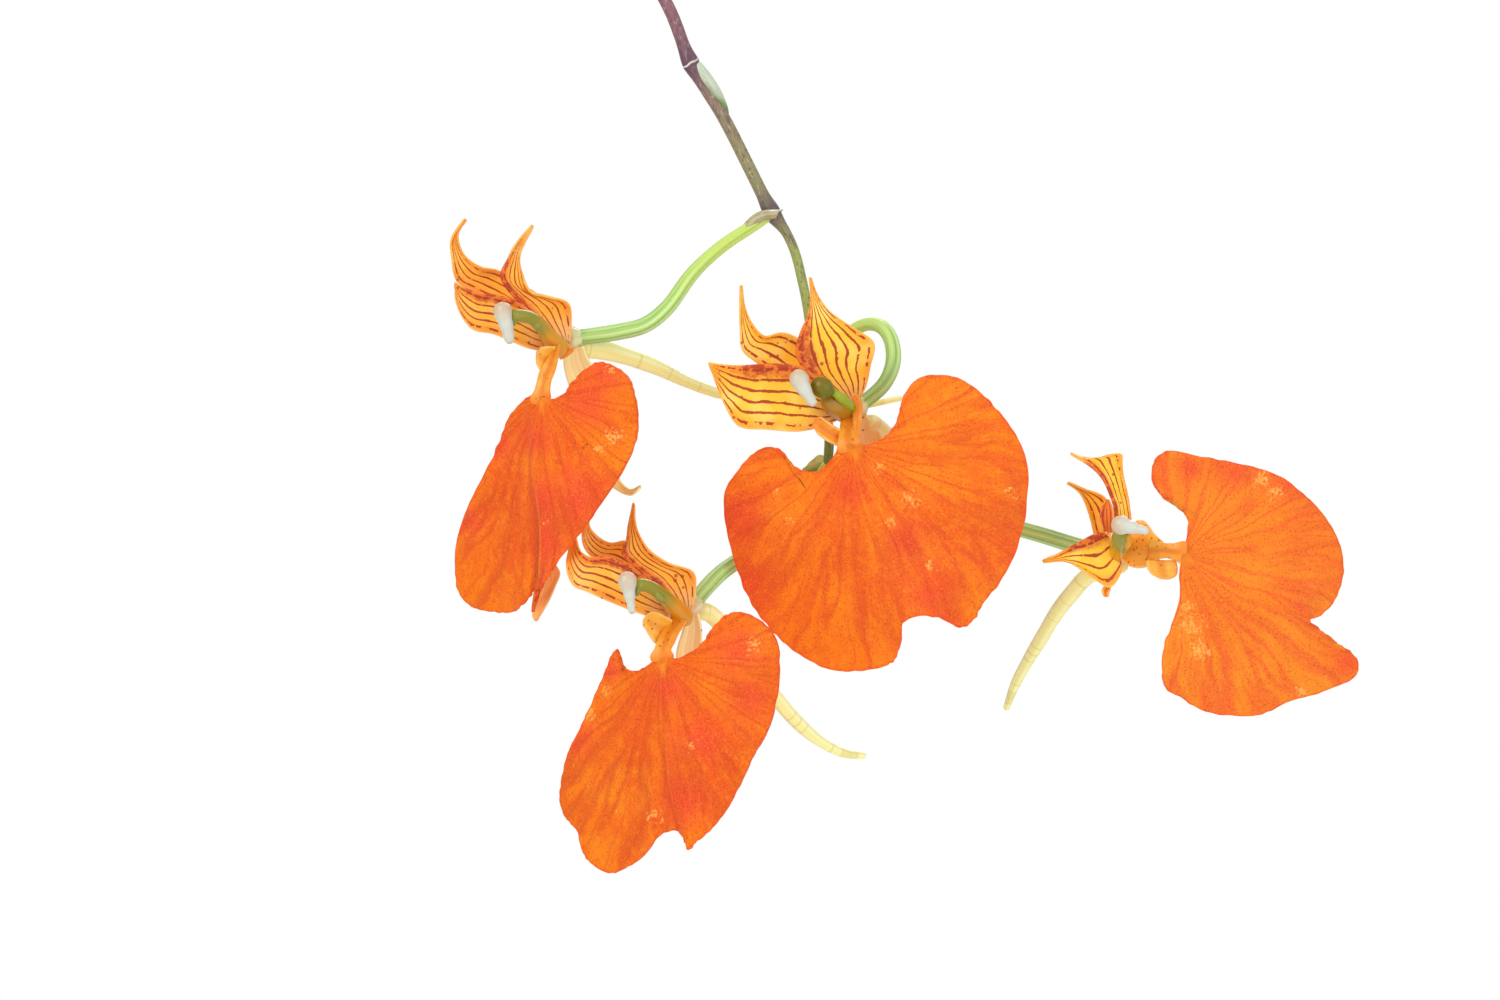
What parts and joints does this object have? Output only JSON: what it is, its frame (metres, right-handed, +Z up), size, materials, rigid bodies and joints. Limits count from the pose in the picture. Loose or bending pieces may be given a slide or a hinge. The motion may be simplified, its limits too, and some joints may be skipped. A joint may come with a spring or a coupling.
{
  "type": "potted orchid",
  "caption": "Small orchid in a plain terracotta pot of bark, with strap leaves and an arching spike of orange flowers with striped petals, broad lips and long spurs.",
  "frame": {"origin": "centre of the pot's base, on the surface the pot stands on", "axes": "+Z up, +X from the pot towards the hanging flowers, -Y the side the flowers face"},
  "size_m": [0.3464, 0.1495, 0.2632],
  "materials": {
    "terracotta": "matte",
    "bark": "matte",
    "bulb": "satin",
    "leaf": "satin",
    "root": "matte",
    "spike": "satin",
    "bract": "matte",
    "pedicel": "satin",
    "column": "satin",
    "anther_cap": "satin",
    "lip": "matte",
    "petal": "satin",
    "synsepal": "satin"
  },
  "bodies": {
    "root": {"pot": "terracotta", "bark_medium": "bark", "pseudobulbs": "bulb", "flower_spike": "spike", "leaf_1": "leaf", "leaf_2": "leaf", "leaf_3": "leaf", "leaf_4": "leaf", "leaf_5": "leaf", "root_1": "root", "root_2": "root", "root_3": "root", "root_4": "root", "bract_upper": "bract", "bract_node": "bract", "bract_tip": "bract", "bloom_left_pedicel": "pedicel", "bloom_left_column": "column", "bloom_left_anther_cap": "anther_cap", "bloom_left_lip": "lip", "bloom_left_petal_right": "petal", "bloom_left_petal_left": "petal", "bloom_left_dorsal_sepal": "petal", "bloom_left_synsepal": "synsepal", "bloom_centre_pedicel": "pedicel", "bloom_centre_column": "column", "bloom_centre_anther_cap": "anther_cap", "bloom_centre_lip": "lip", "bloom_centre_petal_right": "petal", "bloom_centre_petal_left": "petal", "bloom_centre_dorsal_sepal": "petal", "bloom_centre_synsepal": "synsepal", "bloom_lower_pedicel": "pedicel", "bloom_lower_column": "column", "bloom_lower_anther_cap": "anther_cap", "bloom_lower_lip": "lip", "bloom_lower_petal_right": "petal", "bloom_lower_petal_left": "petal", "bloom_lower_dorsal_sepal": "petal", "bloom_lower_synsepal": "synsepal", "bloom_right_pedicel": "pedicel", "bloom_right_column": "column", "bloom_right_anther_cap": "anther_cap", "bloom_right_lip": "lip", "bloom_right_petal_right": "petal", "bloom_right_petal_left": "petal", "bloom_right_dorsal_sepal": "petal", "bloom_right_synsepal": "synsepal"}
  },
  "joints": []
}
